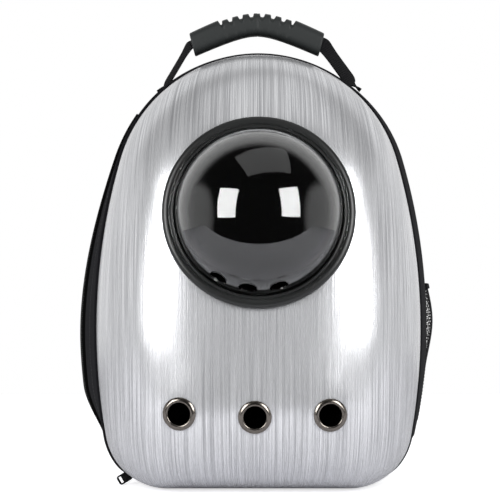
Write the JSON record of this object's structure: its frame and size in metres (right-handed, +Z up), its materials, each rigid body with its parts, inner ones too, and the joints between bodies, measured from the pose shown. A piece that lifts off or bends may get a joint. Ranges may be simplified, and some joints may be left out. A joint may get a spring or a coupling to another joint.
{
  "type": "pet carrier backpack",
  "caption": "Pet carrier backpack with a moulded silver front shell, clear dome window, eyelet vents, soft black body, side zip, mesh pocket, carry grip and shoulder straps.",
  "frame": {"origin": "on the floor, under the middle of the soft flat base", "axes": "+Z up, the dome window faces -Y, +X is on the right of someone looking at the window"},
  "size_m": [0.3509, 0.3741, 0.463],
  "materials": {
    "brushed_silver": "satin",
    "ring_plastic": "satin",
    "clear_acrylic": "polished",
    "gunmetal": "polished",
    "black_cloth": "matte",
    "black_mesh_pad": "matte",
    "black_webbing": "matte",
    "black_net": "matte",
    "zip_black": "satin",
    "black_plastic": "satin",
    "grip_plastic": "satin"
  },
  "bodies": {
    "root": {"front_shell": "brushed_silver", "window_ring": "ring_plastic", "window_dome": "clear_acrylic", "grommet_left": "gunmetal", "grommet_middle": "gunmetal", "grommet_right": "gunmetal", "edge_piping": "black_cloth", "rear_body": "black_cloth", "back_panel": "black_mesh_pad", "zip_tape": "black_webbing", "zip_coil": "zip_black", "zip_slider": "black_plastic", "zip_ring": "gunmetal", "zip_puller": "black_plastic", "side_pocket": "black_net", "pocket_binding": "black_webbing", "handle_grip": "grip_plastic", "handle_webbing": "black_webbing", "shoulder_strap_left": "black_mesh_pad", "shoulder_strap_right": "black_mesh_pad", "strap_webbing_left": "black_webbing", "strap_webbing_right": "black_webbing", "strap_buckle_left": "black_plastic", "strap_buckle_right": "black_plastic"}
  },
  "joints": []
}
